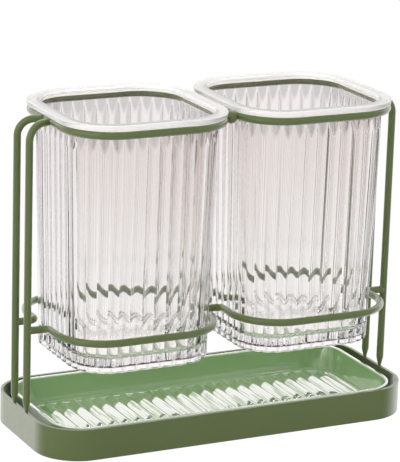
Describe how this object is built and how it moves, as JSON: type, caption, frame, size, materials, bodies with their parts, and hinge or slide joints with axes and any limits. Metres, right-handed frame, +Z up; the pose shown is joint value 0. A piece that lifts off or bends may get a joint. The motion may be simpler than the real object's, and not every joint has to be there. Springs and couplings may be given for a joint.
{
  "type": "chopstick holder",
  "caption": "Green wire frame that hangs clear ribbed utensil cups over a lift-out drip tray standing inside a low steel band.",
  "frame": {"origin": "middle of the footprint, on the table", "axes": "+X to the object's right along the base, +Y to the rear, +Z up"},
  "size_m": [0.2174, 0.0932, 0.1767],
  "materials": {
    "frame": "satin",
    "tray": "gloss",
    "cup": "gloss"
  },
  "bodies": {
    "frame": {"base_band": "frame", "upright_front_left": "frame", "upright_front_right": "frame", "upright_rear_left": "frame", "upright_rear_right": "frame", "top_hoop_left": "frame", "top_hoop_right": "frame", "centre_bar": "frame", "bar_knob_front": "frame", "bar_knob_rear": "frame", "lower_hoop_front": "frame", "lower_hoop_rear": "frame"},
    "left_cup": {"cup_left": "cup"},
    "right_cup": {"cup_right": "cup"},
    "tray": {"drip_tray": "tray"}
  },
  "joints": [
    {"name": "cup_left_lift", "type": "slide", "parent": "frame", "child": "left_cup", "axis": [0, 0, 1], "range_m": [0, 0.15]},
    {"name": "cup_right_lift", "type": "slide", "parent": "frame", "child": "right_cup", "axis": [0, 0, 1], "range_m": [0, 0.15]},
    {"name": "tray_lift", "type": "slide", "parent": "frame", "child": "tray", "axis": [0, 0, 1], "range_m": [0, 0.02]}
  ]
}
